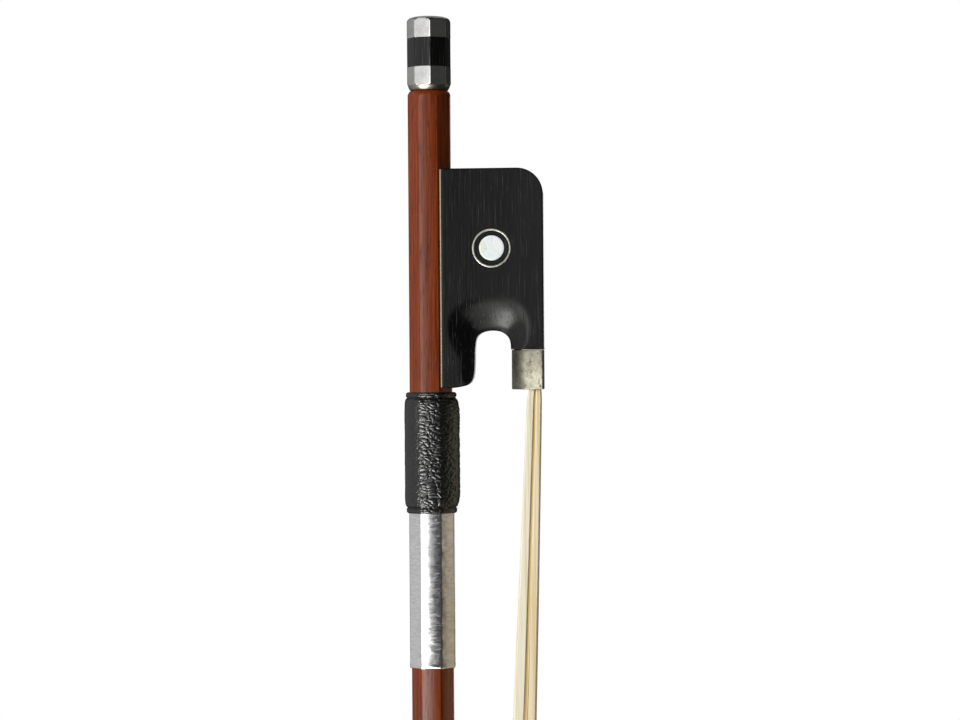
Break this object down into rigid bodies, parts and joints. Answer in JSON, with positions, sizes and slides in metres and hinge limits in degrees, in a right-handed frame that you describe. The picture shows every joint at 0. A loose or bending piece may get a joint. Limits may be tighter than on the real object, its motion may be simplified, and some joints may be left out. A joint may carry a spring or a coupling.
{
  "type": "viola bow",
  "caption": "Viola bow with an octagonal stick, black frog with ferrule and pearl eye, horsehair, thumb leather, metal lapping and a screw button that moves the frog.",
  "frame": {"origin": "on the stick's axis, half way along the thumb leather, where the bow is held", "axes": "+Z along the stick towards the screw button, +X from the stick towards the hair, +Y across the frog, away from the pictured side"},
  "size_m": [0.0626, 0.0134, 0.7453],
  "materials": {
    "pernambuco": "red-brown bow wood, oiled and polished, fine grain along the stick",
    "ebony": "black ebony, satin, fine pores along the grain",
    "nickel_silver": "nickel silver, worn satin with fine scratches",
    "lapping_metal": "thin silvery sheet lapping, fine marks across it",
    "brass": "brass, satin",
    "steel": "plain steel, turned",
    "leather": "black pebbled leather, slight sheen",
    "pearl": "mother of pearl, polished",
    "bone": "bone-coloured plate, polished",
    "plug_wood": "pale plain wood, unfinished",
    "horsehair": "bleached horsehair, cream",
    "bound_hair": "hair ends tied and set with rosin"
  },
  "bodies": {
    "stick": {"stick": "pernambuco", "head_plate": "bone", "head_plate_liner": "ebony", "head_plug": "plug_wood", "hair_knot_head": "bound_hair", "thumb_leather": "leather", "metal_lapping": "lapping_metal"},
    "frog": {"frog_block": "ebony", "ferrule": "nickel_silver", "ferrule_wedge": "plug_wood", "frog_plug": "plug_wood", "hair_knot_frog": "bound_hair", "hair_ribbon": "horsehair", "underslide": "brass", "underslide_pin_front": "brass", "underslide_pin_rear": "brass", "slide_base": "ebony", "slide_pearl": "pearl", "eye_ring_near": "nickel_silver", "eye_ring_far": "nickel_silver", "eye_pearl_near": "pearl", "eye_pearl_far": "pearl", "eyelet": "brass"},
    "button": {"screw": "steel", "button_collar": "nickel_silver", "button_front_ring": "nickel_silver", "button_core": "ebony", "button_rear_cap": "nickel_silver"}
  },
  "joints": [
    {"name": "screw_turn", "type": "hinge", "parent": "stick", "child": "button", "pos_m": [0, 0, 0.08], "axis": [0, 0, -1], "range_deg": [0, 4200]},
    {"name": "frog_slide", "type": "slide", "parent": "stick", "child": "frog", "axis": [0, 0, 1], "range_m": [0, 0.007], "deforming": ["hair_ribbon"]}
  ],
  "couplings": [
    {"joint": "screw_turn", "follows": "frog_slide", "rad_per_m": 10472}
  ]
}
